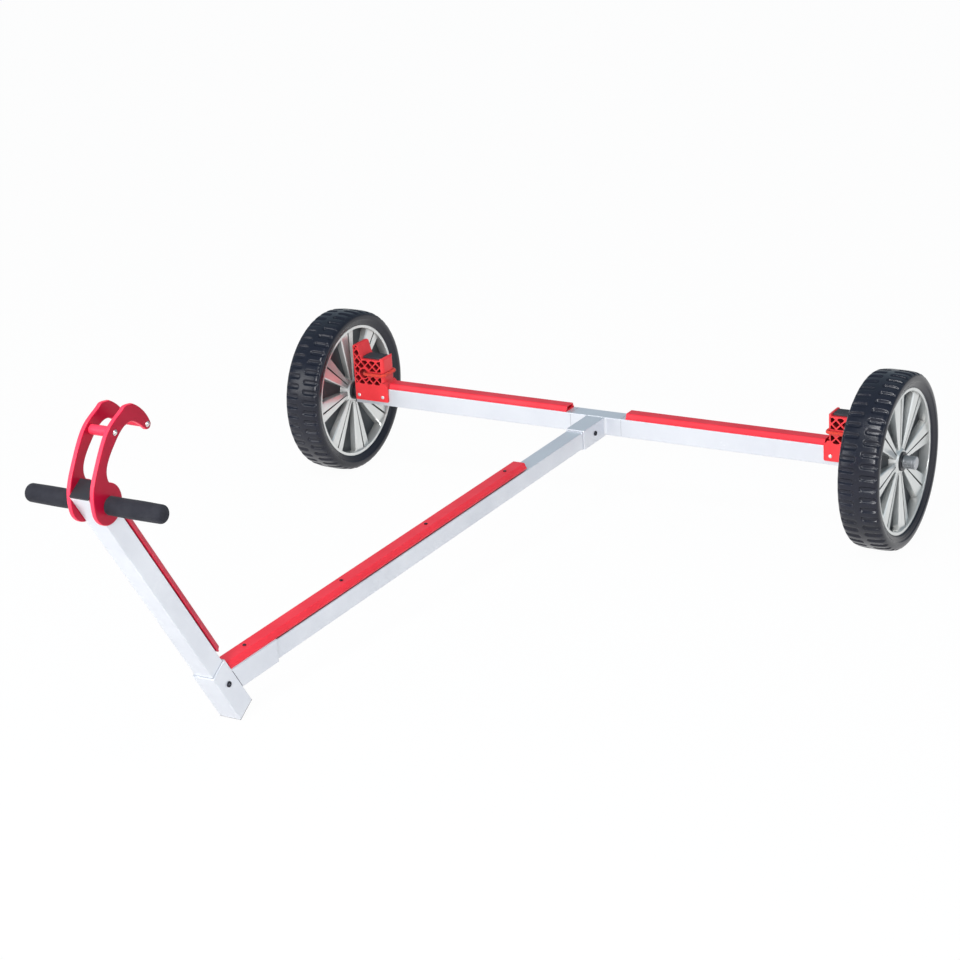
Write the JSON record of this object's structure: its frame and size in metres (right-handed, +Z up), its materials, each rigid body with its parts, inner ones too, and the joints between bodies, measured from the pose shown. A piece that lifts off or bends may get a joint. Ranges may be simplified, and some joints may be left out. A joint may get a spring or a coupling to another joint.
{
  "type": "dinghy dolly",
  "caption": "Two-wheeled hand dolly for a small sailing boat: square cross beam and keel tube, raked bow post with tow handle and hook, and two hull support blocks.",
  "frame": {"origin": "ground point below the centre of the whole dolly's outline", "axes": "+X along the axle, to the right when looking from the handle towards the wheels, -Y towards the bow post and handle, +Z up from the ground"},
  "size_m": [1.558, 2.0744, 0.6675],
  "materials": {
    "aluminium_tube": "satin anodised aluminium tube",
    "aluminium_fitting": "fine-textured silver cast aluminium",
    "red_bumper": "smooth bright red extruded plastic",
    "red_block": "moulded bright red plastic",
    "red_horn": "moulded crimson plastic plate",
    "black_plastic": "moulded black plastic",
    "core_plastic": "moulded black nylon",
    "foam_grip": "closed-cell dark grey foam",
    "pad_rubber": "soft black rubber",
    "red_cord": "braided red shock cord",
    "tyre_rubber": "solid navy-black rubber",
    "rim_plastic": "silver-grey moulded nylon",
    "axle_steel": "stainless steel",
    "retainer_plastic": "silver-grey moulded cap"
  },
  "bodies": {
    "chassis": {"axle_beam_left": "aluminium_tube", "axle_beam_right": "aluminium_tube", "axle_retainer_left": "retainer_plastic", "axle_retainer_right": "retainer_plastic", "axle_spacer_left": "axle_steel", "axle_spacer_right": "axle_steel", "axle_strip_left": "red_bumper", "axle_strip_right": "red_bumper", "beam_plug_left": "black_plastic", "beam_plug_right": "black_plastic", "bungee_left": "red_cord", "bungee_right": "red_cord", "elbow_fitting": "aluminium_fitting", "foot_plug": "black_plastic", "grip_left": "foam_grip", "grip_right": "foam_grip", "handle_bar": "aluminium_tube", "horn_plate_left": "red_horn", "horn_plate_right": "red_horn", "horn_spacer": "red_horn", "horn_tip_pin": "red_horn", "keel_strip": "red_bumper", "keel_tube": "aluminium_tube", "post_cap": "black_plastic", "post_strip": "red_bumper", "post_tube": "aluminium_tube", "stub_axle_left": "axle_steel", "stub_axle_right": "axle_steel", "support_block_left": "red_block", "support_block_right": "red_block", "support_pad_left": "pad_rubber", "support_pad_right": "pad_rubber", "tee_fitting": "aluminium_fitting"},
    "wheel_left": {"rim_left": "rim_plastic", "wheel_core_left": "core_plastic", "tyre_left": "tyre_rubber", "hub_bush_left": "black_plastic"},
    "wheel_right": {"rim_right": "rim_plastic", "wheel_core_right": "core_plastic", "tyre_right": "tyre_rubber", "hub_bush_right": "black_plastic"}
  },
  "joints": [
    {"name": "wheel_left_spin", "type": "hinge", "parent": "chassis", "child": "wheel_left", "pos_m": [-0.716, 0.83524, 0.2], "axis": [1, 0, 0], "continuous": true},
    {"name": "wheel_right_spin", "type": "hinge", "parent": "chassis", "child": "wheel_right", "pos_m": [0.716, 0.83524, 0.2], "axis": [1, 0, 0], "continuous": true}
  ]
}
